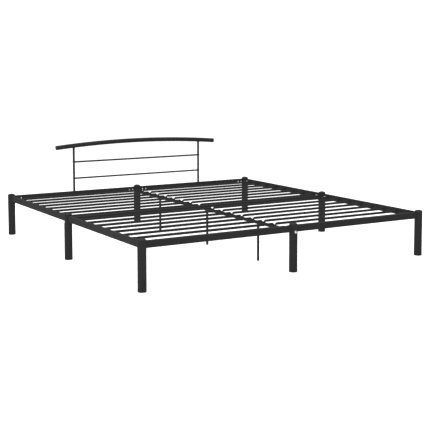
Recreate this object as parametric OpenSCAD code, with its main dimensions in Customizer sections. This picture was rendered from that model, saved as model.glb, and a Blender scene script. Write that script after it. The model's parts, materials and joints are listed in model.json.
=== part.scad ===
// Knock-down metal bed frame: eight round legs, box-section rails, round slats on a
// centre beam, and a low headboard with an arched top tube. Millimetres, +Z up, +Y towards
// the headboard. The origin is on the floor, midway between the corner legs.

/* [Mattress] */
// Width of the mattress between the leg caps
mattress_w = 1930; // [800:10:2000]
// Length of the mattress between the leg caps
mattress_l = 2030; // [1800:10:2200]
// Space left between the mattress and each leg
mattress_gap = 2; // [0:1:20]

/* [Legs] */
// Outside diameter of a leg tube
leg_d = 51; // [38:1:60]
// Wall of a leg tube
leg_wall = 1.5; // [1:0.5:3]
// Height of a leg tube above the rails
leg_rise = 4; // [0:1:20]
// Height of the dome of a top cap
cap_h = 11; // [8:1:20]
// Height of the foot cap under a leg
foot_h = 8; // [6:1:12]
// Radius of the rounded edge of a foot cap
foot_round = 3; // [1:0.5:5]
// Length of the plug of a cap inside the tube
plug_h = 16; // [8:1:30]
// Sideways offset of the centre line (centre beam and the legs at its ends)
centre_x = 11; // [-30:1:30]
// Lengthways offset of the middle line (cross beam and the legs at its ends)
middle_y = -9; // [-30:1:30]

/* [Rails] */
// Height of the top of the rails above the floor
rail_top = 281; // [240:1:340]
// Height of a rail section
rail_h = 40; // [36:1:60]
// Width of a rail section
rail_w = 20; // [16:1:40]
// Wall of a rail tube
rail_wall = 1.5; // [1:0.5:2]
// Outside corner radius of every box tube
corner_r = 2.5; // [2:0.25:3.5]
// Gap between a leg's spigot and the inside of the rail
spigot_gap = 0.5; // [0.2:0.1:1]
// Reach of an end rail's spigot from the leg's centre line
spigot_reach = 90; // [86:1:140]
// Distance of the nearer joint bolt from the leg's centre line
joint_bolt_near = 42; // [38:1:50]
// Distance between the two bolts of an end rail's joint
joint_bolt_pitch = 28; // [18:1:34]

/* [Slats] */
// Diameter of a slat tube
slat_d = 16; // [14:1:20]
// Wall of a slat tube
slat_wall = 1; // [0.8:0.1:1.5]
// Rows of slats in each half of the bed
slats_per_half = 8; // [5:1:10]
// Distance from an end rail to its nearest slat, as the mean of the two ends
slat_edge = 83.5; // [60:0.5:120]
// Distance from the cross beam to the nearest slat on each side
slat_middle_gap = 89; // [60:1:120]
// Length of a slat's outer end inside its rail, past the rail's wall
slat_inset = 5; // [3:0.5:10]
// Radial clearance of a slat in its rail's hole
slat_gap = 0.2; // [0.1:0.1:0.5]
// Length of the pressed-flat end of a slat
tongue_len = 14; // [12:1:24]
// Thickness of the pressed-flat end of a slat
tongue_t = 2.4; // [2:0.1:3]
// Length over which a slat changes from round to flat
taper_len = 7; // [5:1:20]
// Gap between the two flat ends that lap on the centre beam
lap_gap = 0.1; // [0.1:0.05:0.3]

/* [Centre beam] */
// Width of the centre beam
beam_w = 15; // [12:1:30]
// Height of the centre beam
beam_h = 20; // [16:1:40]
// Wall of the centre beam
beam_wall = 1.5; // [1:0.5:2]
// Place of the joint between the two beam halves, from the middle line
beam_joint = 40; // [30:1:50]
// Length of the sleeve inside that joint
sleeve_len = 170; // [160:5:200]
// Gap between the sleeve and the inside of the beam
sleeve_gap = 0.4; // [0.2:0.1:1]
// Diameter of a support leg under the centre beam
support_d = 16; // [14:1:30]
// Wall of a support leg
support_wall = 1.5; // [1:0.5:2]
// Place of an outer support leg, in slat spacings past the slat nearest the middle
support_place = 4.6; // [3.4:0.1:5.6]
// Height of the plastic foot of a support leg
support_foot_h = 10; // [6:1:20]

/* [Cross beam] */
// Width of the cross beam, which is as high as a slat
cross_w = 25; // [20:1:40]
// Least thickness of the saddle plate that closes each end of the cross beam
saddle_t = 3; // [3:0.5:6]
// Width of a saddle plate
saddle_w = 30; // [25:1:40]

/* [Headboard] */
// Height of the top of the arch above the floor
head_top = 654; // [560:1:900]
// Sideways offset of the headboard
head_x = 22; // [-40:1:40]
// Diameter of the arch tube
arch_d = 32; // [25:1:40]
// Wall of the arch tube
arch_wall = 1.5; // [1:0.5:3]
// Radius of the arch's centre line
arch_r = 7270; // [5000:10:12000]
// Length of the arch along its chord
arch_len = 1330; // [1150:2:1500]
// Gap between a post and the inside of the head rail
post_gap = 0.5; // [0.2:0.1:1]
// Wall of a headboard post
post_wall = 1.2; // [1:0.1:2]
// Distance between the centres of the two posts
post_pitch = 1060; // [700:1:1100]
// Diameter of a headboard cross bar
bar_d = 12.7; // [8:0.1:16]
// Heights of the two cross bars above the floor
bar_z = [376, 498];

/* [Fasteners] */
// Thread diameter of the small bolts
bolt_d = 6; // [5:1:6]
// Head diameter of the small bolts
bolt_head_d = 11; // [9:0.5:12]
// Head height of the small bolts
bolt_head_h = 3.4; // [3:0.1:5]
// Thread diameter of the leg bolts
leg_bolt_d = 8; // [6:1:8]
// Head diameter of the leg bolts
leg_bolt_head_d = 18; // [14:1:22]
// Head height of the leg bolts
leg_bolt_head_h = 5; // [3:0.5:6]
// Radial clearance of a bolt in its hole
bolt_gap = 0.2; // [0.1:0.1:0.5]

/* [Hidden] */
$fn = 48;
eps = 0.05;
half_w = mattress_w / 2 + mattress_gap + leg_d / 2;
half_l = mattress_l / 2 + mattress_gap + leg_d / 2;
rail_z = rail_top - rail_h / 2;
tube_top = rail_top + leg_rise;
slat_bottom = rail_z - slat_d / 2;
beam_z = slat_bottom - beam_h / 2;
beam_bottom = slat_bottom - beam_h;
// A side rail's joint is shorter where it has to stop short of the nearest slat
slat_clear = min(slat_edge - abs(middle_y), slat_middle_gap) - slat_d / 2 - slat_gap;
side_reach = min(spigot_reach, slat_clear - 0.3);
side_bolt_pitch = min(joint_bolt_pitch, side_reach - joint_bolt_near - 8);
// Width of a slat tube once it is pressed flat
tongue_w = PI * (slat_d - slat_wall) / 2;
// Space between the tip of one half slat and the shoulder of the other
tip_gap = 0.5;
nut_h = 5;
nut_af = 10;
socket_af = 4;
leg_socket_af = 6;
leg_nut_len = 14;
screw_d = 5;
screw_head_d = 9;
screw_head_h = 3;
bar_plug = 16;
// The posts drop into the head rail, so its inside width sets their diameter
post_d = rail_w - 2 * rail_wall - 2 * post_gap;
post_y = half_l;
post_bottom = rail_top - rail_h + rail_wall;
arch_top = head_top;
arch_z = arch_top - arch_d / 2 - arch_r;
arch_a = asin(arch_len / 2 / arch_r);
// Facets of the full circle that the arch is a short part of
arch_fn = 720;
// Height of the arch's centre line straight above a post
post_top = arch_z + sqrt(pow(arch_r, 2) - pow(post_pitch / 2, 2));
arch_cap_t = 3;
post_bolt_z = [rail_z - 11, rail_z + 11];

// Legs: name, place, the directions of its rails, and the direction its bolt's head faces
LEGS = [
    ["leg_head_left", [-half_w, half_l], [0, 270], undef],
    ["leg_head_right", [half_w, half_l], [180, 270], undef],
    ["leg_foot_left", [-half_w, -half_l], [0, 90], undef],
    ["leg_foot_right", [half_w, -half_l], [180, 90], undef],
    ["leg_mid_left", [-half_w, middle_y], [90, 270], 180],
    ["leg_mid_right", [half_w, middle_y], [90, 270], 0],
    ["leg_mid_head", [centre_x, half_l], [0, 180], 90],
    ["leg_mid_foot", [centre_x, -half_l], [0, 180], 270]
];
// Rails: name, and the two legs that each one joins
RAILS = [
    ["rail_head_left", LEGS[0][1], LEGS[6][1]],
    ["rail_head_right", LEGS[6][1], LEGS[1][1]],
    ["rail_foot_left", LEGS[2][1], LEGS[7][1]],
    ["rail_foot_right", LEGS[7][1], LEGS[3][1]],
    ["rail_left_foot", LEGS[2][1], LEGS[4][1]],
    ["rail_left_head", LEGS[4][1], LEGS[0][1]],
    ["rail_right_foot", LEGS[3][1], LEGS[5][1]],
    ["rail_right_head", LEGS[5][1], LEGS[1][1]]
];
// Slat places, from the foot end to the head end
last_slat = slats_per_half - 1;
slat_pitch = (half_l - slat_middle_gap - slat_edge) / last_slat;
SLAT_Y = concat(
    [for (i = [last_slat:-1:0]) middle_y - slat_middle_gap - i * slat_pitch],
    [for (i = [0:last_slat]) middle_y + slat_middle_gap + i * slat_pitch]
);
support_y = slat_middle_gap + support_place * slat_pitch;
// The middle support leg's bolt head stands just clear of the cross beam
support_mid = middle_y - cross_w / 2 - bolt_head_d / 2 - 0.5;
SUPPORT_Y = [-support_y, support_mid, support_y];
SUPPORTS = ["support_leg_foot", "support_leg_middle", "support_leg_head"];
BEAM_SPLIT = middle_y + beam_joint;

// Reach of the spigot, and distance between the bolts, of a joint that heads in direction a
function along_side(a) = a == 90 || a == 270;
function reach(a) = along_side(a) ? side_reach : spigot_reach;
function bolt_pitch(a) = along_side(a) ? side_bolt_pitch : joint_bolt_pitch;
function two_digits(n) = n < 10 ? str("0", n) : str(n);
function slat_name(i) = str("slat_", two_digits(i + 1));
// Half-ellipse that starts at the rim of radius r and rises to height h
function dome(r, h, steps = 10) =
    [for (i = [0:steps]) [r * cos(90 * i / steps), h * sin(90 * i / steps)]];
// Direction of the line from leg centre a to leg centre b
function heading(a, b) = atan2(b[1] - a[1], b[0] - a[0]);
// Side of a rail, left (+1) or right (-1) of its heading, on which the bed's inside lies
function inner_side(a, b) =
    let (mid = (a + b) / 2, d = b - a) d[0] * -mid[1] - d[1] * -mid[0] > 0 ? 1 : -1;

module round_box(w, h, r) {
    square([w - 2 * r, h], center = true);
    square([w, h - 2 * r], center = true);
    for (x = [-1, 1], y = [-1, 1])
        translate([x * (w / 2 - r), y * (h / 2 - r)]) circle(r, $fn = 24);
}

// Welded box tube along +X, with rounded corners inside and out
module box_tube(len, w, h, wall) {
    rotate([90, 0, 90]) linear_extrude(len) difference() {
        round_box(w, h, corner_r);
        round_box(w - 2 * wall, h - 2 * wall, max(corner_r - wall, 0.3));
    }
}

module ring(d, wall, h) {
    difference() {
        cylinder(d = d, h = h);
        translate([0, 0, -1]) cylinder(d = d - 2 * wall, h = h + 2);
    }
}

// Places of the two bolts of a rail joint that runs along +X
module joint_bolt_places(pitch) {
    for (i = [0, 1]) translate([joint_bolt_near + i * pitch, 0, rail_z]) children();
}

module at_leg(l) {
    translate([l[1][0], l[1][1], 0]) children();
}

// Leg tube with a welded spigot for each rail, and a cross hole for its bolt if it has one
module leg(l) {
    spigot_w = rail_w - 2 * (rail_wall + spigot_gap);
    spigot_h = rail_h - 2 * (rail_wall + spigot_gap);
    color("#2e2f30") at_leg(l) difference() {
        union() {
            translate([0, 0, foot_h]) ring(leg_d, leg_wall, tube_top - foot_h);
            for (a = l[2]) rotate(a) difference() {
                translate([0, 0, rail_z])
                    box_tube(reach(a), spigot_w, spigot_h, rail_wall);
                translate([0, 0, foot_h]) cylinder(d = leg_d - eps, h = tube_top);
            }
        }
        for (a = l[2]) rotate(a) joint_bolt_places(bolt_pitch(a))
            rotate([90, 0, 0]) cylinder(r = bolt_d / 2 + bolt_gap, h = rail_w, center = true);
        if (!is_undef(l[3])) rotate(l[3]) translate([0, 0, beam_z])
            rotate([0, 90, 0]) cylinder(r = leg_bolt_d / 2 + bolt_gap, h = leg_d * 2, center = true);
    }
}

module leg_caps() {
    plug_r = leg_d / 2 - leg_wall;
    color("#262627") for (l = LEGS) at_leg(l) {
        translate([0, 0, tube_top]) rotate_extrude()
            polygon(concat([[0, 0]], dome(leg_d / 2, cap_h)));
        translate([0, 0, tube_top - plug_h]) ring(2 * plug_r, 2, plug_h);
    }
}

module leg_feet() {
    plug_r = leg_d / 2 - leg_wall;
    r = leg_d / 2;
    color("#1f1f20") for (l = LEGS) at_leg(l) {
        rotate_extrude() union() {
            polygon([[0, 0], [r - foot_round, 0], [r - foot_round, foot_round],
                [r, foot_round], [r, foot_h], [0, foot_h]]);
            intersection() {
                translate([r - foot_round, foot_round]) circle(foot_round);
                translate([r - foot_round, 0]) square(foot_round);
            }
        }
        translate([0, 0, foot_h]) ring(2 * plug_r, 2, plug_h);
    }
}

// Rail between two legs: its ends are coped to the tubes and slide over the spigots
module rail(r) {
    a = r[1];
    b = r[2];
    span = norm(b - a);
    side = inner_side(a, b);
    way = heading(a, b);
    color("#333436") difference() {
        translate([a[0], a[1], rail_z]) rotate(way) difference() {
            box_tube(span, rail_w, rail_h, rail_wall);
            for (end = [0, 1], i = [0, 1])
                let (d = joint_bolt_near + i * bolt_pitch(way))
                    translate([end == 0 ? d : span - d, side * rail_w / 2, 0])
                        rotate([90, 0, 0])
                            cylinder(r = bolt_d / 2 + bolt_gap, h = rail_w, center = true);
        }
        for (p = [a, b]) translate([p[0], p[1], 0]) cylinder(d = leg_d, h = 2 * rail_top);
        if (a[0] == b[0]) slat_holes(a, b);
        if (r[0] == "rail_head_left") {
            post_socket(-1);
            post_bolt_holes(-1);
        }
        if (r[0] == "rail_head_right") {
            post_socket(1);
            post_bolt_holes(1);
        }
    }
}

// Holes in the inner wall of a side rail, one for each slat between the legs at a and b
module slat_holes(a, b) {
    s = a[0] > 0 ? -1 : 1;
    for (y = SLAT_Y) if ((y - a[1]) * (y - b[1]) < 0)
        translate([a[0], y, rail_z]) rotate([0, 90 * s, 0])
            cylinder(r = slat_d / 2 + slat_gap, h = rail_w);
}

// Button-head bolt: the head stands on z = 0 and the shank goes down
module bolt(d, head_d, head_h, len, af) {
    difference() {
        rotate_extrude() polygon(concat([[0, 0]], dome(head_d / 2, head_h, 6)));
        translate([0, 0, head_h * 0.35]) cylinder(r = af / sqrt(3), h = head_h, $fn = 6);
    }
    translate([0, 0, -len]) cylinder(d = d, h = len);
}

module rail_bolts() {
    color("#8d8f92") for (r = RAILS) {
        a = r[1];
        span = norm(r[2] - a);
        side = inner_side(a, r[2]);
        way = heading(a, r[2]);
        translate([a[0], a[1], rail_z]) rotate(way)
            for (end = [0, 1], i = [0, 1])
                let (d = joint_bolt_near + i * bolt_pitch(way))
                    translate([end == 0 ? d : span - d, side * rail_w / 2, 0])
                        rotate([-90 * side, 0, 0])
                            bolt(bolt_d, bolt_head_d, bolt_head_h, 10, socket_af);
    }
}

module at_leg_bolt(l) {
    at_leg(l) translate([0, 0, beam_z]) rotate(l[3]) rotate([0, 90, 0]) children();
}

BOLTED = [for (l = LEGS) if (!is_undef(l[3])) l];

// One bolt through each middle leg: along the centre line it pulls on the nut in the beam's
// end, and along the middle line it pulls on the cross beam's saddle plate
module leg_bolts() {
    color("#b4b6b8") for (l = BOLTED) at_leg_bolt(l)
        translate([0, 0, leg_d / 2])
            bolt(leg_bolt_d, leg_bolt_head_d, leg_bolt_head_h, leg_d + leg_nut_len, leg_socket_af);
}

module leg_bolt_nuts() {
    side = beam_w - 2 * beam_wall;
    nut_len = leg_nut_len - saddle_t - 1;
    color("#9a9c9f") for (l = BOLTED) at_leg_bolt(l)
        translate([0, 0, -leg_d / 2 - saddle_t - nut_len]) difference() {
            translate([-side / 2, -side / 2, 0]) cube([side, side, nut_len]);
            translate([0, 0, -1]) cylinder(r = leg_bolt_d / 2 + bolt_gap, h = nut_len + 2);
        }
}

saddle_x = half_w - leg_d / 2 - saddle_t;

// Cross beam: a flat tube on top of the centre beam, between the saddle plates
module cross_beam() {
    color("#2a2b2c") difference() {
        translate([-saddle_x, middle_y, rail_z])
            box_tube(2 * saddle_x, cross_w, slat_d, rail_wall);
        translate([centre_x, middle_y, slat_bottom - 1])
            cylinder(r = bolt_d / 2 + bolt_gap, h = rail_wall + 2);
    }
}

// Plates welded on the cross beam's ends: each fits round its leg and hangs down to the
// leg's bolt
module cross_beam_saddles() {
    saddle_in = half_w - sqrt(pow(leg_d / 2, 2) - pow(saddle_w / 2, 2));
    color("#2a2b2c") difference() {
        for (x = [-saddle_in, saddle_x])
            translate([x, middle_y - saddle_w / 2, beam_bottom])
                cube([saddle_in - saddle_x, saddle_w, beam_h + slat_d]);
        for (s = [-1, 1]) translate([s * half_w, middle_y, 0]) {
            cylinder(d = leg_d, h = 2 * rail_top);
            translate([0, 0, beam_z]) rotate([0, 90, 0])
                cylinder(r = leg_bolt_d / 2 + bolt_gap, h = 2 * leg_d, center = true);
        }
    }
}

// Bolt from below, through the centre beam, into the nut inside the cross beam
module cross_beam_bolt() {
    color("#9a9c9f") translate([centre_x, middle_y, beam_bottom]) rotate([180, 0, 0])
        bolt(bolt_d, bolt_head_d, bolt_head_h, beam_h + rail_wall + nut_h + 2, socket_af);
}

module cross_beam_nut() {
    color("#9a9c9f") translate([centre_x, middle_y, slat_bottom + rail_wall]) difference() {
        cylinder(r = nut_af / sqrt(3), h = nut_h, $fn = 6);
        translate([0, 0, -1]) cylinder(r = bolt_d / 2 + bolt_gap, h = nut_h + 2);
    }
}

// Half slat that runs along +X from x = 0 to its flat end, which is centred on x = len
module half_slat(len, tongue_z) {
    round_len = len - tongue_len / 2 - taper_len;
    difference() {
        union() {
            rotate([0, 90, 0]) cylinder(d = slat_d, h = round_len);
            hull() {
                translate([round_len - eps, 0, 0]) rotate([0, 90, 0])
                    cylinder(d = slat_d - 6 * eps, h = eps, $fn = 32);
                translate([round_len + taper_len - eps, -tongue_w / 2, tongue_z])
                    cube([eps, tongue_w, tongue_t]);
            }
            translate([round_len + taper_len - eps, -tongue_w / 2, tongue_z])
                cube([eps + tongue_len - tip_gap, tongue_w, tongue_t]);
        }
        translate([-1, 0, 0]) rotate([0, 90, 0])
            cylinder(d = slat_d - 2 * slat_wall, h = round_len);
        translate([len, 0, tongue_z - 1]) cylinder(r = bolt_d / 2 + bolt_gap, h = tongue_t + 2);
    }
}

// One row of slat: two halves, of which the right one's flat end lies over the left one's
// where they lap on the centre beam
module slat(i) {
    start = half_w - rail_w / 2 + rail_wall + slat_inset;
    color("#2a2b2c") for (s = [-1, 1])
        translate([s * start, SLAT_Y[i], rail_z]) mirror([s > 0 ? 1 : 0, 0, 0])
            half_slat(start - s * centre_x, -slat_d / 2 + (s > 0 ? tongue_t + lap_gap : 0));
}

module slat_bolts() {
    lap_t = 2 * tongue_t + lap_gap;
    color("#b4b6b8") for (y = SLAT_Y)
        translate([centre_x, y, slat_bottom + lap_t])
            bolt(bolt_d, bolt_head_d, bolt_head_h, lap_t + beam_h + nut_h + 2, socket_af);
}

module slat_nuts() {
    color("#9a9c9f") for (y = SLAT_Y)
        translate([centre_x, y, beam_bottom - nut_h]) difference() {
            cylinder(r = nut_af / sqrt(3), h = nut_h, $fn = 6);
            translate([0, 0, -1]) cylinder(r = bolt_d / 2 + bolt_gap, h = nut_h + 2);
        }
}

// Vertical bolt holes through the beam and its sleeve
module beam_holes() {
    for (y = concat(SLAT_Y, SUPPORT_Y, [middle_y])) translate([centre_x, y, beam_bottom - 1])
        cylinder(r = bolt_d / 2 + bolt_gap, h = beam_h + 2);
}

module beam_half(y0, y1) {
    color("#2e2f30") difference() {
        translate([centre_x, y0, beam_z]) rotate(90) box_tube(y1 - y0, beam_w, beam_h, beam_wall);
        beam_holes();
        for (y = [-half_l, half_l]) translate([centre_x, y, 0])
            cylinder(d = leg_d, h = 2 * rail_top);
    }
}

module beam_sleeve() {
    w = beam_w - 2 * (beam_wall + sleeve_gap);
    h = beam_h - 2 * (beam_wall + sleeve_gap);
    color("#4a4b4d") difference() {
        translate([centre_x, BEAM_SPLIT - sleeve_len / 2, beam_z]) rotate(90)
            box_tube(sleeve_len, w, h, beam_wall);
        beam_holes();
    }
}

// Support leg: a plain tube whose top is closed by a tapped plug
module support_leg(y) {
    plug = 18;
    color("#2e2f30") translate([centre_x, y, 0]) difference() {
        translate([0, 0, support_foot_h]) cylinder(d = support_d, h = beam_bottom - support_foot_h);
        translate([0, 0, support_foot_h - 1])
            cylinder(d = support_d - 2 * support_wall, h = beam_bottom - support_foot_h - plug + 1);
        translate([0, 0, beam_bottom - plug - 1])
            cylinder(r = bolt_d / 2 + bolt_gap, h = plug + 2);
    }
}

module support_leg_bolts() {
    color("#9a9c9f") for (y = SUPPORT_Y) translate([centre_x, y, slat_bottom])
        bolt(bolt_d, bolt_head_d, bolt_head_h, beam_h + 14, socket_af);
}

module support_leg_feet() {
    color("#1f1f20") for (y = SUPPORT_Y) translate([centre_x, y, 0]) {
        cylinder(d1 = support_d, d2 = support_d, h = support_foot_h);
        translate([0, 0, support_foot_h])
            cylinder(d = support_d - 2 * support_wall, h = plug_h);
    }
}

// Solid of the arch's outer surface, of diameter d, between the angles -a and +a
module arch_rod(d, a) {
    translate([head_x, post_y, arch_z]) rotate([90, 0, 0]) rotate([0, 0, 90 - a])
        rotate_extrude(angle = 2 * a, $fn = arch_fn)
            translate([arch_r, 0]) circle(d = d, $fn = 48);
}

module headboard_arch() {
    color("#2e2f30") difference() {
        arch_rod(arch_d, arch_a);
        arch_rod(arch_d - 2 * arch_wall, arch_a + 1);
    }
}

module headboard_arch_caps() {
    cap_a = asin(arch_cap_t / arch_r);
    plug_a = asin(plug_h / arch_r);
    color("#1f1f20") translate([head_x, post_y, arch_z]) rotate([90, 0, 0])
        for (s = [0, 1]) mirror([s, 0, 0]) rotate([0, 0, 90 - arch_a]) {
            rotate([0, 0, -cap_a]) rotate_extrude(angle = cap_a)
                translate([arch_r, 0]) circle(d = arch_d);
            rotate_extrude(angle = plug_a)
                translate([arch_r, 0]) circle(d = arch_d - 2 * arch_wall);
        }
}

// Bolt holes through a post and the outer wall of the head rail
module post_bolt_holes(s) {
    for (z = post_bolt_z)
        translate([head_x + s * post_pitch / 2, post_y - post_d / 2 - post_gap / 2, z])
            rotate([-90, 0, 0]) cylinder(r = bolt_d / 2 + bolt_gap, h = 2 * rail_w);
}

// Opening for a post in the top wall of the head rail
module post_socket(s) {
    translate([head_x + s * post_pitch / 2, post_y, rail_z])
        cylinder(r = post_d / 2 + post_gap, h = rail_h);
}

// Post: it stands inside the head rail, and its top is coped to the underside of the arch
module headboard_post(s) {
    color("#2e2f30") difference() {
        translate([head_x + s * post_pitch / 2, post_y, post_bottom])
            ring(post_d, post_wall, post_top - post_bottom);
        arch_rod(arch_d, arch_a);
        post_bolt_holes(s);
        for (z = bar_z) translate([head_x + s * post_pitch / 2, post_y, z]) rotate([0, 90, 0])
            cylinder(r = screw_d / 2 + bolt_gap, h = 2 * post_d, center = true);
    }
}

// Cross bar: a tube between the posts, closed at each end by a tapped plug
module headboard_bar(z) {
    half = post_pitch / 2;
    color("#2e2f30") difference() {
        translate([head_x, post_y, z]) rotate([0, 90, 0]) difference() {
            translate([0, 0, -half]) cylinder(d = bar_d, h = post_pitch);
            translate([0, 0, -half + post_d / 2 + bar_plug])
                cylinder(d = bar_d - 2, h = post_pitch - post_d - 2 * bar_plug);
            for (s = [-1, 1]) translate([0, 0, s * half])
                cylinder(r = screw_d / 2 + bolt_gap, h = 2 * (post_d / 2 + bar_plug) + 2, center = true);
        }
        for (s = [-1, 1]) translate([head_x + s * half, post_y, 0])
            cylinder(d = post_d, h = head_top);
    }
}

module headboard_bar_screws() {
    color("#3a3b3d") for (s = [-1, 1], z = bar_z)
        translate([head_x + s * (post_pitch + post_d) / 2, post_y, z]) rotate([0, 90 * s, 0])
            bolt(screw_d, screw_head_d, screw_head_h, post_d + 12, 3);
}

module headboard_bolts() {
    color("#8d8f92") for (s = [-1, 1], z = post_bolt_z)
        translate([head_x + s * post_pitch / 2, half_l + rail_w / 2, z])
            rotate([-90, 0, 0])
                bolt(bolt_d, bolt_head_d, bolt_head_h, (rail_w + post_d) / 2, socket_af);
}

for (l = LEGS) leg(l);
leg_caps();
leg_feet();
for (r = RAILS) rail(r);
rail_bolts();
leg_bolts();
leg_bolt_nuts();
cross_beam();
cross_beam_saddles();
cross_beam_bolt();
cross_beam_nut();
for (i = [0:len(SLAT_Y) - 1]) slat(i);
slat_bolts();
slat_nuts();
beam_half(-half_l, BEAM_SPLIT);  // beam_foot_half
beam_half(BEAM_SPLIT, half_l);  // beam_head_half
beam_sleeve();
for (k = [0:2]) support_leg(SUPPORT_Y[k]);
support_leg_bolts();
support_leg_feet();
headboard_arch();
headboard_arch_caps();
headboard_post(-1);  // headboard_post_left
headboard_post(1);  // headboard_post_right
headboard_bar(bar_z[0]);  // headboard_bar_lower
headboard_bar(bar_z[1]);  // headboard_bar_upper
headboard_bar_screws();
headboard_bolts();
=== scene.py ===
import json
import math

import bmesh
import bpy
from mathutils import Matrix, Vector


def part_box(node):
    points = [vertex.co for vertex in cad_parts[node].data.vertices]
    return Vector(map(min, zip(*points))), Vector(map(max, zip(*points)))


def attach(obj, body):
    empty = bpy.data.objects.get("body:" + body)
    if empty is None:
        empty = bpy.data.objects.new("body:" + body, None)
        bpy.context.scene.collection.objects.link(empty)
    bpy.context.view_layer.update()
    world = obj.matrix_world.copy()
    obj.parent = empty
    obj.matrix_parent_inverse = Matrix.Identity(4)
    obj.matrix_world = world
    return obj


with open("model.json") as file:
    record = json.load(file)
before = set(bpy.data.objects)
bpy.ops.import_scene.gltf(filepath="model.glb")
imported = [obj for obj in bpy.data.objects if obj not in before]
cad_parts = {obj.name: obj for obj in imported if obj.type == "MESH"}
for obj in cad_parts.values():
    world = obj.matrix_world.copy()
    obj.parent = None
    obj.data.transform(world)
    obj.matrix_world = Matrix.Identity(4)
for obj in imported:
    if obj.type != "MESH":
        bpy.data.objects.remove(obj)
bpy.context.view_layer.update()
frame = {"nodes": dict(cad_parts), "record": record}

nodes = frame["nodes"]
scene = bpy.context.scene


# ---------------------------------------------------------------- places taken from the frame

def middle(name):
    low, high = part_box(name)
    return (Vector(low) + Vector(high)) / 2


def size(name):
    low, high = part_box(name)
    return Vector(high) - Vector(low)


LEGS = ("leg_head_left", "leg_head_right", "leg_foot_left", "leg_foot_right",
        "leg_mid_left", "leg_mid_right", "leg_mid_head", "leg_mid_foot")


# ---------------------------------------------------------------- node helpers

def place(tree, kind, at, **settings):
    made = tree.nodes.new(kind)
    made.location = at
    for key, value in settings.items():
        setattr(made, key, value)
    return made


def set_inputs(made, **values):
    for key, value in values.items():
        made.inputs[key.replace("_", " ")].default_value = value
    return made


def new_group(name, inputs, outputs):
    """A shader node group whose sockets are given as (name, kind, default)."""
    group = bpy.data.node_groups.new(name, "ShaderNodeTree")
    for label, kind, default in inputs:
        socket = group.interface.new_socket(name=label, in_out="INPUT", socket_type=kind)
        if default is not None:
            socket.default_value = default
    for label, kind in outputs:
        group.interface.new_socket(name=label, in_out="OUTPUT", socket_type=kind)
    start = place(group, "NodeGroupInput", (-900, 0))
    end = place(group, "NodeGroupOutput", (700, 0))
    return group, start, end


def mix_colour(tree, at, factor, first, second):
    made = place(tree, "ShaderNodeMix", at, data_type="RGBA")
    sockets = made.inputs["Factor"], made.inputs[6], made.inputs[7]
    for socket, value in zip(sockets, (factor, first, second)):
        if isinstance(value, bpy.types.NodeSocket):
            tree.links.new(value, socket)
        else:
            socket.default_value = value
    return made.outputs[2]


def maths(tree, at, operation, first, second=None, clamp=False):
    made = place(tree, "ShaderNodeMath", at, operation=operation, use_clamp=clamp)
    for index, value in enumerate((first, second)):
        if value is None:
            continue
        if isinstance(value, bpy.types.NodeSocket):
            tree.links.new(value, made.inputs[index])
        else:
            made.inputs[index].default_value = value
    return made.outputs[0]


def spread(tree, at, value, from_low, from_high, to_low, to_high):
    made = place(tree, "ShaderNodeMapRange", at)
    tree.links.new(value, made.inputs["Value"])
    set_inputs(made, From_Min=from_low, From_Max=from_high)
    for label, end in (("To Min", to_low), ("To Max", to_high)):
        if isinstance(end, bpy.types.NodeSocket):
            tree.links.new(end, made.inputs[label])
        else:
            made.inputs[label].default_value = end
    return made.outputs["Result"]


# ---------------------------------------------------------------- shared surface effects

def make_powder_skin():
    """Orange-peel skin of a sprayed and baked powder coat, with slow changes of tone."""
    group, start, end = new_group(
        "powder_skin",
        [("Coat", "NodeSocketColor", (0.02, 0.02, 0.02, 1)),
         ("Thin Coat", "NodeSocketColor", (0.04, 0.04, 0.04, 1)),
         ("Peel Scale", "NodeSocketFloat", 620.0), ("Grain Scale", "NodeSocketFloat", 2600.0),
         ("Peel Depth", "NodeSocketFloat", 0.35), ("Tone Change", "NodeSocketFloat", 0.25),
         ("Satin", "NodeSocketFloat", 0.42), ("Matt", "NodeSocketFloat", 0.6)],
        [("Color", "NodeSocketColor"), ("Roughness", "NodeSocketFloat"), ("Height", "NodeSocketFloat")])
    spot = place(group, "ShaderNodeTexCoord", (-900, 300))
    peel = place(group, "ShaderNodeTexNoise", (-600, 300))
    set_inputs(peel, Detail=2.0, Roughness=0.45)
    grain = place(group, "ShaderNodeTexNoise", (-600, 0))
    set_inputs(grain, Detail=3.0, Roughness=0.6)
    cloud = place(group, "ShaderNodeTexNoise", (-600, -300))
    set_inputs(cloud, Scale=7.0, Detail=4.0, Roughness=0.55)
    for made in (peel, grain, cloud):
        group.links.new(spot.outputs["Object"], made.inputs["Vector"])
    group.links.new(start.outputs["Peel Scale"], peel.inputs["Scale"])
    group.links.new(start.outputs["Grain Scale"], grain.inputs["Scale"])
    fine = maths(group, (-350, 0), "MULTIPLY", grain.outputs["Fac"], 0.35)
    rough = maths(group, (-200, 200), "ADD", peel.outputs["Fac"], fine)
    height = maths(group, (0, 250), "MULTIPLY", rough, start.outputs["Peel Depth"])
    group.links.new(height, end.inputs["Height"])
    tone = spread(group, (-350, -300), cloud.outputs["Fac"], 0.3, 0.7, 0.0, start.outputs["Tone Change"])
    speck = spread(group, (-350, -120), grain.outputs["Fac"], 0.35, 0.75, 0.0, start.outputs["Tone Change"])
    faint_speck = maths(group, (-220, -120), "MULTIPLY", speck, 0.6)
    patch = maths(group, (-100, -200), "ADD", tone, faint_speck, clamp=True)
    group.links.new(mix_colour(group, (150, -100), patch, start.outputs["Coat"], start.outputs["Thin Coat"]),
                    end.inputs["Color"])
    sheen = spread(group, (150, 100), rough, 0.3, 0.95, start.outputs["Satin"], start.outputs["Matt"])
    group.links.new(sheen, end.inputs["Roughness"])
    return group


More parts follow.
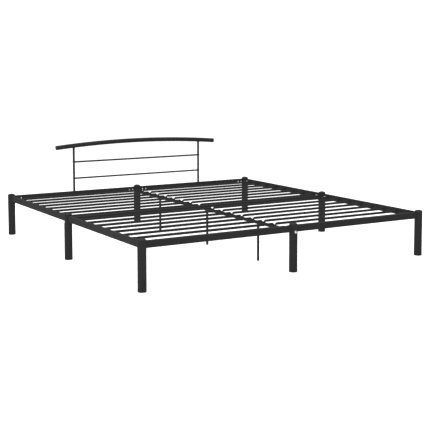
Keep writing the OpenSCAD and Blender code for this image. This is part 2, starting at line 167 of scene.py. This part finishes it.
def make_worn_and_highlit_edges():
    """Mask of the outer edges, where a coat lies thinner and gets rubbed and where a painted highlight is
    laid, and the softened normal.
    """
    group, start, end = new_group(
        "worn_and_highlit_edges",
        [("Radius", "NodeSocketFloat", 0.0015), ("Sharpness", "NodeSocketFloat", 5.0),
         ("Breakup", "NodeSocketFloat", 0.5)],
        [("Mask", "NodeSocketFloat"), ("Normal", "NodeSocketVector")])
    soft = place(group, "ShaderNodeBevel", (-600, 200), samples=6)
    group.links.new(start.outputs["Radius"], soft.inputs["Radius"])
    flat = place(group, "ShaderNodeNewGeometry", (-600, 0))
    agree = place(group, "ShaderNodeVectorMath", (-350, 150), operation="DOT_PRODUCT")
    group.links.new(soft.outputs["Normal"], agree.inputs[0])
    group.links.new(flat.outputs["Normal"], agree.inputs[1])
    turn = maths(group, (-150, 150), "SUBTRACT", 1.0, agree.outputs["Value"])
    edge = maths(group, (0, 150), "MULTIPLY", turn, start.outputs["Sharpness"], clamp=True)
    spot = place(group, "ShaderNodeTexCoord", (-600, -250))
    chips = place(group, "ShaderNodeTexNoise", (-350, -250))
    set_inputs(chips, Scale=90.0, Detail=5.0, Roughness=0.7)
    group.links.new(spot.outputs["Object"], chips.inputs["Vector"])
    least = maths(group, (-350, -450), "SUBTRACT", 1.0, start.outputs["Breakup"])
    keep = spread(group, (-100, -250), chips.outputs["Fac"], 0.42, 0.62, least, 1.0)
    group.links.new(maths(group, (200, 0), "MULTIPLY", edge, keep, clamp=True), end.inputs["Mask"])
    group.links.new(soft.outputs["Normal"], end.inputs["Normal"])
    return group


def make_settled_dust():
    """Thin dust that lies on surfaces facing up, in soft patches."""
    group, start, end = new_group(
        "settled_dust",
        [("Color", "NodeSocketColor", (0.02, 0.02, 0.02, 1)),
         ("Dust", "NodeSocketColor", (0.3, 0.29, 0.27, 1)),
         ("Amount", "NodeSocketFloat", 0.06)],
        [("Color", "NodeSocketColor"), ("Mask", "NodeSocketFloat")])
    facing = place(group, "ShaderNodeNewGeometry", (-700, 200))
    parts = place(group, "ShaderNodeSeparateXYZ", (-500, 200))
    group.links.new(facing.outputs["Normal"], parts.inputs[0])
    up = spread(group, (-300, 200), parts.outputs["Z"], 0.55, 1.0, 0.0, 1.0)
    spot = place(group, "ShaderNodeTexCoord", (-700, -100))
    patches = place(group, "ShaderNodeTexNoise", (-500, -100))
    set_inputs(patches, Scale=26.0, Detail=6.0, Roughness=0.62)
    group.links.new(spot.outputs["Object"], patches.inputs["Vector"])
    thick = spread(group, (-300, -100), patches.outputs["Fac"], 0.35, 0.7, 0.2, 1.0)
    mask = maths(group, (-50, 100), "MULTIPLY", maths(group, (-150, 100), "MULTIPLY", up, thick),
                 start.outputs["Amount"], clamp=True)
    dusted = mix_colour(group, (150, 0), mask, start.outputs["Color"], start.outputs["Dust"])
    group.links.new(dusted, end.inputs["Color"])
    group.links.new(mask, end.inputs["Mask"])
    return group


def make_moulded_grain():
    """Fine spark-eroded grain of a moulded plastic cap."""
    group, start, end = new_group(
        "moulded_grain",
        [("Plastic", "NodeSocketColor", (0.02, 0.02, 0.02, 1)),
         ("Worn", "NodeSocketColor", (0.05, 0.05, 0.05, 1)),
         ("Grain Scale", "NodeSocketFloat", 1500.0), ("Depth", "NodeSocketFloat", 0.4)],
        [("Color", "NodeSocketColor"), ("Roughness", "NodeSocketFloat"), ("Height", "NodeSocketFloat")])
    spot = place(group, "ShaderNodeTexCoord", (-900, 100))
    cells = place(group, "ShaderNodeTexVoronoi", (-600, 200), feature="SMOOTH_F1")
    group.links.new(start.outputs["Grain Scale"], cells.inputs["Scale"])
    smear = place(group, "ShaderNodeTexNoise", (-600, -100))
    set_inputs(smear, Scale=60.0, Detail=4.0, Roughness=0.6)
    for made in (cells, smear):
        group.links.new(spot.outputs["Object"], made.inputs["Vector"])
    group.links.new(maths(group, (-200, 250), "MULTIPLY", cells.outputs["Distance"], start.outputs["Depth"]),
                    end.inputs["Height"])
    worn = spread(group, (-300, -100), smear.outputs["Fac"], 0.4, 0.75, 0.0, 0.45)
    tone = mix_colour(group, (0, -50), worn, start.outputs["Plastic"], start.outputs["Worn"])
    group.links.new(tone, end.inputs["Color"])
    sheen = spread(group, (0, 100), smear.outputs["Fac"], 0.3, 0.7, 0.5, 0.66)
    group.links.new(sheen, end.inputs["Roughness"])
    return group


def make_plated_metal():
    """Zinc plate: a spangled, faintly streaked film with small changes of tint."""
    group, start, end = new_group(
        "plated_metal",
        [("Bright", "NodeSocketColor", (0.62, 0.63, 0.65, 1)),
         ("Dull", "NodeSocketColor", (0.38, 0.38, 0.38, 1)),
         ("Spangle Scale", "NodeSocketFloat", 700.0)],
        [("Color", "NodeSocketColor"), ("Roughness", "NodeSocketFloat"), ("Height", "NodeSocketFloat")])
    spot = place(group, "ShaderNodeTexCoord", (-900, 100))
    spangle = place(group, "ShaderNodeTexVoronoi", (-600, 200), feature="F1")
    group.links.new(start.outputs["Spangle Scale"], spangle.inputs["Scale"])
    film = place(group, "ShaderNodeTexNoise", (-600, -100))
    set_inputs(film, Scale=240.0, Detail=5.0, Roughness=0.65)
    for made in (spangle, film):
        group.links.new(spot.outputs["Object"], made.inputs["Vector"])
    tint = place(group, "ShaderNodeRGBToBW", (-400, 200))
    group.links.new(spangle.outputs["Color"], tint.inputs[0])
    dull = maths(group, (-150, 100), "MULTIPLY", maths(group, (-250, 150), "MULTIPLY", tint.outputs[0], 0.5),
                 spread(group, (-350, -100), film.outputs["Fac"], 0.3, 0.7, 0.3, 1.4), clamp=True)
    tone = mix_colour(group, (50, 50), dull, start.outputs["Bright"], start.outputs["Dull"])
    group.links.new(tone, end.inputs["Color"])
    sheen = spread(group, (50, -150), film.outputs["Fac"], 0.3, 0.7, 0.26, 0.44)
    group.links.new(sheen, end.inputs["Roughness"])
    group.links.new(film.outputs["Fac"], end.inputs["Height"])
    return group


powder_skin = make_powder_skin()
worn_and_highlit_edges = make_worn_and_highlit_edges()
settled_dust = make_settled_dust()
moulded_grain = make_moulded_grain()
plated_metal = make_plated_metal()


# ---------------------------------------------------------------- materials

def new_material(name, specular):
    made = bpy.data.materials.new(name)
    made.use_nodes = True
    tree = made.node_tree
    shader = tree.nodes["Principled BSDF"]
    shader.location = (500, 0)
    shader.inputs["Specular IOR Level"].default_value = specular
    return made, tree, shader


def use_group(tree, group, at, **values):
    made = place(tree, "ShaderNodeGroup", at, node_tree=group)
    set_inputs(made, **values)
    return made


def grey(value, warm=0.0):
    return (value * (1 + warm), value, value * (1 - warm), 1)


def powder_coat(name, coat, thin):
    """Baked powder coat over steel tube: peel, edges painted lighter (partly thinner rubbed coat, partly
    painted highlight) and a little dust on top.
    """
    made, tree, shader = new_material(name, 0.07)
    skin = use_group(tree, powder_skin, (-500, 200), Coat=coat, Thin_Coat=thin, Satin=0.60, Matt=0.75)
    edges = use_group(tree, worn_and_highlit_edges, (-500, -200), Radius=0.0016, Sharpness=3.0, Breakup=0.45)
    # Edge lightening: partly the thinner, rubbed coat, partly a painted highlight where the edges catch the
    # light.
    edge_wear_and_highlight = maths(tree, (-280, -150), "MULTIPLY", edges.outputs["Mask"], 0.55)
    coat_with_worn_and_highlit_edges = mix_colour(tree, (-100, 100), edge_wear_and_highlight, skin.outputs["Color"], grey(0.085))
    top = use_group(tree, settled_dust, (120, 150), Amount=0.012)
    tree.links.new(coat_with_worn_and_highlit_edges, top.inputs["Color"])
    tree.links.new(top.outputs["Color"], shader.inputs["Base Color"])
    tree.links.new(skin.outputs["Roughness"], shader.inputs["Roughness"])
    peel = place(tree, "ShaderNodeBump", (250, -250))
    set_inputs(peel, Strength=0.35, Distance=0.0006)
    tree.links.new(skin.outputs["Height"], peel.inputs["Height"])
    tree.links.new(edges.outputs["Normal"], peel.inputs["Normal"])
    tree.links.new(peel.outputs["Normal"], shader.inputs["Normal"])
    return made


def cap_plastic(name, plastic, worn):
    """Moulded plastic of the caps and feet: fine grain and a little dust on top."""
    made, tree, shader = new_material(name, 0.12)
    grain = use_group(tree, moulded_grain, (-500, 200), Plastic=plastic, Worn=worn)
    top = use_group(tree, settled_dust, (0, 150), Amount=0.02)
    tree.links.new(grain.outputs["Color"], top.inputs["Color"])
    tree.links.new(top.outputs["Color"], shader.inputs["Base Color"])
    tree.links.new(grain.outputs["Roughness"], shader.inputs["Roughness"])
    bump = place(tree, "ShaderNodeBump", (250, -250))
    set_inputs(bump, Strength=0.3, Distance=0.0004)
    tree.links.new(grain.outputs["Height"], bump.inputs["Height"])
    tree.links.new(bump.outputs["Normal"], shader.inputs["Normal"])
    return made


def plated_bolt(name, bright, dull):
    """Plated or plain steel of the fasteners, painted brighter along its edges: partly rubbed plating,
    partly painted highlight.
    """
    made, tree, shader = new_material(name, 0.5)
    shader.inputs["Metallic"].default_value = 1.0
    plate = use_group(tree, plated_metal, (-500, 200), Bright=bright, Dull=dull)
    edges = use_group(tree, worn_and_highlit_edges, (-500, -200), Radius=0.0005, Sharpness=4.0, Breakup=0.3)
    # Edges mixed toward bright steel: painted highlight, partly rubbed plating.
    tone = mix_colour(tree, (0, 100), maths(tree, (-200, -100), "MULTIPLY", edges.outputs["Mask"], 0.5),
                      plate.outputs["Color"], grey(0.75))
    tree.links.new(tone, shader.inputs["Base Color"])
    tree.links.new(plate.outputs["Roughness"], shader.inputs["Roughness"])
    bump = place(tree, "ShaderNodeBump", (250, -250))
    set_inputs(bump, Strength=0.15, Distance=0.0003)
    tree.links.new(plate.outputs["Height"], bump.inputs["Height"])
    tree.links.new(edges.outputs["Normal"], bump.inputs["Normal"])
    tree.links.new(bump.outputs["Normal"], shader.inputs["Normal"])
    return made


finishes = {
    "leg_coat": powder_coat("leg_powder_coat", grey(0.0160), grey(0.024)),
    "rail_coat": powder_coat("rail_powder_coat", grey(0.0155), grey(0.023)),
    "slat_coat": powder_coat("slat_powder_coat", grey(0.0150), grey(0.022)),
    "black_plastic": cap_plastic("cap_plastic", grey(0.013), grey(0.020)),
    "zinc": plated_bolt("zinc_plate", grey(0.56, -0.01), grey(0.30, 0.02)),
    "dark_zinc": plated_bolt("black_zinc_plate", grey(0.10), grey(0.06)),
    "bare_steel": plated_bolt("plain_steel", grey(0.42, 0.01), grey(0.25, 0.03)),
}
slot_of = {part["node"]: part["material_slot"] for part in frame["record"]["subparts"]}
for name, piece in nodes.items():
    finish = finishes[slot_of[name]]
    piece.data.materials.clear()
    piece.data.materials.append(finish)


# ---------------------------------------------------------------- small fabricated detail

TURN = 2 * math.pi
TUBE_CORNER = 0.0025       # outside corner radius of the box tubes
CORNER_STEPS = 6           # steps round one such corner
ARCH_TUBE_RADIUS = 0.016
ARCH_END_LEAN = 0.001      # about how far the leaning end faces stand past the centre line
POST_WELD = 0.0019         # radius of the bead round a post
POST_STEPS = 96
POST_RIPPLES = 26
SADDLE_WELD = 0.0016       # radius of the bead at a saddle plate
SADDLE_RIPPLES = 34
SADDLE_INSET = 0.0006      # how far inside the beam's end the middle of its bead lies
LIP_STEPS = 72             # steps round the lip of a cap or foot
BEAD_SINK = 0.0004         # how far a bead's centre sits below the surface it joins
BEAD_STEP = 0.0008         # distance between rings along a bead


def add_piece(name, form, slot):
    """Makes a smooth mesh of the form, finished and moved as part of the frame."""
    mesh = bpy.data.meshes.new(name)
    bmesh.ops.recalc_face_normals(form, faces=form.faces[:])
    form.to_mesh(mesh)
    form.free()
    for face in mesh.polygons:
        face.use_smooth = True
    piece = bpy.data.objects.new(name, mesh)
    scene.collection.objects.link(piece)
    mesh.materials.append(finishes[slot])
    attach(piece, "root")
    return piece


def bead_ripple(turn, ripples, seed):
    """How full a weld bead is at one point along it, from the overlapping pools of metal."""
    wave = math.sin(turn * ripples) * 0.5 + math.sin(turn * ripples * 0.37 + seed) * 0.3
    return 1.0 + 0.16 * wave


def ring_bead(form, path, radius, ripples, seed, sides=8, closed=True):
    """Lays a rippled round bead along a path of (point, outward, across) triples."""
    rings = []
    count = len(path)
    for step, (point, outward, across) in enumerate(path):
        full = radius * bead_ripple(TURN * step / count, ripples, seed)
        ring = []
        for side in range(sides):
            turn = TURN * side / sides
            around = outward * math.cos(turn) + across * math.sin(turn)
            ring.append(form.verts.new(point + around * full))
        rings.append(ring)
    last = count if closed else count - 1
    for step in range(last):
        here, there = rings[step], rings[(step + 1) % count]
        for side in range(sides):
            other = (side + 1) % sides
            form.faces.new((here[side], here[other], there[other], there[side]))
    if not closed:
        form.faces.new(list(reversed(rings[0])))
        form.faces.new(rings[-1])


def weld_posts_to_arch():
    """Fillet weld round each post where its end meets the underside of the arch."""
    low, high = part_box("headboard_arch")
    arch_middle = (low[0] + high[0]) / 2
    chord = (high[0] - low[0]) / 2 - ARCH_END_LEAN
    rise = high[2] - low[2] - 2 * ARCH_TUBE_RADIUS
    bend = (chord ** 2 + rise ** 2) / (2 * rise)
    form = bmesh.new()
    for seed, name in enumerate(("headboard_post_left", "headboard_post_right")):
        centre, width = middle(name), size(name)
        post_radius = width.x / 2
        offset = centre.x - arch_middle
        axis_z = high[2] - ARCH_TUBE_RADIUS - bend + math.sqrt(bend ** 2 - offset ** 2)
        lean = -offset / bend
        path = []
        for step in range(POST_STEPS):
            turn = TURN * step / POST_STEPS
            out_x, out_y = math.cos(turn), math.sin(turn)
            x, y = out_x * post_radius, out_y * post_radius
            under = axis_z + lean * x - math.sqrt(ARCH_TUBE_RADIUS ** 2 - y ** 2)
            point = Vector((centre.x + x, centre.y + y, under - BEAD_SINK))
            path.append((point, Vector((out_x, out_y, 0)), Vector((0, 0, 1))))
        ring_bead(form, path, POST_WELD, POST_RIPPLES, seed)
    add_piece("post_welds", form, "leg_coat")


def weld_saddles():
    """Fillet weld under and beside the cross beam at each saddle plate; its top stays flat."""
    low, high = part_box("cross_beam")
    form = bmesh.new()
    corner = TUBE_CORNER
    centre_y, centre_z = (low[1] + high[1]) / 2, (low[2] + high[2]) / 2
    half_y, half_z = (high[1] - low[1]) / 2, (high[2] - low[2]) / 2
    for seed, side in enumerate((-1, 1)):
        x = (high[0] if side > 0 else low[0]) - side * SADDLE_INSET
        across = Vector((side, 0, 0))
        bend = [(Vector((x, centre_y + half_y, centre_z + half_z - 2 * corner)), Vector((0, 1, 0)))]
        for corner_y, start in ((1, 0), (-1, -90)):
            for step in range(CORNER_STEPS + 1):
                turn = math.radians(start - 90 * step / CORNER_STEPS)
                out = Vector((0, math.cos(turn), math.sin(turn)))
                bend.append((Vector((x, centre_y + corner_y * (half_y - corner) + out.y * corner,
                                     centre_z - half_z + corner + out.z * corner)), out))
        bend.append((Vector((x, centre_y - half_y, centre_z + half_z - 2 * corner)), Vector((0, -1, 0))))
        path = []
        for (here, out), (there, next_out) in zip(bend, bend[1:]):
            parts = max(1, int((there - here).length / BEAD_STEP))
            for part in range(parts):
                share = part / parts
                path.append((here.lerp(there, share), out.lerp(next_out, share).normalized(), across))
        ring_bead(form, path, SADDLE_WELD, SADDLE_RIPPLES, seed + 3, closed=False)
    add_piece("saddle_welds", form, "slat_coat")


def leg_centre(name):
    """Centre line of a leg. A corner leg's spigots point inwards, so its outer sides give it."""
    low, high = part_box(name)
    tube = size("leg_mid_left").x / 2
    if "mid" in name:
        return middle(name)
    return Vector((low[0] + tube if name.endswith("left") else high[0] - tube,
                   high[1] - tube if "head" in name else low[1] + tube, 0))


def seam_rings():
    """Moulded lip where each cap and each foot seats on its tube: a thin flange with a rolled edge."""
    tube = size("leg_mid_left").x / 2
    profile = ((-0.0001, -0.0007), (0.0001, -0.0006), (0.00025, -0.0003), (0.0003, 0.0),
               (0.00025, 0.0003), (0.0001, 0.0006), (-0.0001, 0.0007))
    form = bmesh.new()
    for name in LEGS:
        centre = leg_centre(name)
        low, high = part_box(name)
        for z in (high[2], low[2]):
            rings = []
            for step in range(LIP_STEPS):
                turn = TURN * step / LIP_STEPS
                rings.append([form.verts.new((centre.x + (tube + out) * math.cos(turn),
                                              centre.y + (tube + out) * math.sin(turn), z + up))
                              for out, up in profile])
            for step in range(LIP_STEPS):
                here, there = rings[step], rings[(step + 1) % LIP_STEPS]
                for index in range(len(profile)):
                    other = (index + 1) % len(profile)
                    form.faces.new((here[index], there[index], there[other], here[other]))
    add_piece("cap_lips", form, "black_plastic")


weld_posts_to_arch()
weld_saddles()
seam_rings()


# ---------------------------------------------------------------- studio

def make_floor():
    """A wide pale floor, far larger than the bed."""
    mesh = bpy.data.meshes.new("studio_floor")
    form = bmesh.new()
    bmesh.ops.create_grid(form, x_segments=4, y_segments=4, size=40.0)
    form.to_mesh(mesh)
    form.free()
    floor = bpy.data.objects.new("studio_floor", mesh)
    scene.collection.objects.link(floor)
    floor.location = (0, 0, -0.0005)
    made, tree, shader = new_material("studio_floor", 0.0)
    shader.inputs["Base Color"].default_value = grey(0.9)
    shader.inputs["Roughness"].default_value = 1.0
    shader.inputs["Emission Color"].default_value = (1, 1, 1, 1)
    shader.inputs["Emission Strength"].default_value = 0.27
    mesh.materials.append(made)


def soft_box(name, at, aim, wide, high, power):
    lamp = bpy.data.lights.new(name, "AREA")
    lamp.shape = "RECTANGLE"
    lamp.size, lamp.size_y = wide, high
    lamp.energy = power
    holder = bpy.data.objects.new(name, lamp)
    scene.collection.objects.link(holder)
    holder.location = at
    holder.rotation_euler = (Vector(aim) - Vector(at)).to_track_quat("-Z", "Y").to_euler()


def make_light():
    world = bpy.data.worlds.new("white_room")
    scene.world = world
    world.use_nodes = True
    tree = world.node_tree
    room = tree.nodes["Background"]
    spot = place(tree, "ShaderNodeTexCoord", (-900, 0))
    parts = place(tree, "ShaderNodeSeparateXYZ", (-700, 0))
    tree.links.new(spot.outputs["Generated"], parts.inputs[0])
    walls = spread(tree, (-500, 0), parts.outputs["Z"], 0.0, 0.7, 0.30, 1.0)
    ray = place(tree, "ShaderNodeLightPath", (-700, 300))
    plain_white = maths(tree, (-450, 300), "MULTIPLY", ray.outputs["Is Camera Ray"], 1.1)
    seen = maths(tree, (-250, 100), "MAXIMUM", walls, plain_white)
    tree.links.new(seen, room.inputs["Strength"])
    room.inputs["Color"].default_value = (1, 1, 1, 1)
    soft_box("overhead", (-1.5, -1.0, 5.0), (0, 0, 0.2), 6.0, 6.0, 330)
    soft_box("left_fill", (-6.0, -1.5, 2.2), (0, 0, 0.2), 4.0, 3.0, 30)


def make_camera():
    lens = bpy.data.cameras.new("view")
    eye = bpy.data.objects.new("view", lens)
    scene.collection.objects.link(eye)
    lens.sensor_width = 36.0
    lens.lens = 84.684
    lens.shift_x = -0.0154
    lens.shift_y = -0.15
    lens.clip_end = 200.0
    eye.location = (-3.41914, -5.90676, 1.28462)
    yaw, dip = math.radians(31.0859), math.radians(5.3764)
    way = Vector((math.sin(yaw) * math.cos(dip), math.cos(yaw) * math.cos(dip), -math.sin(dip)))
    eye.rotation_euler = way.to_track_quat("-Z", "Y").to_euler()
    scene.camera = eye


make_floor()
make_light()
make_camera()
scene.view_settings.view_transform = "Standard"
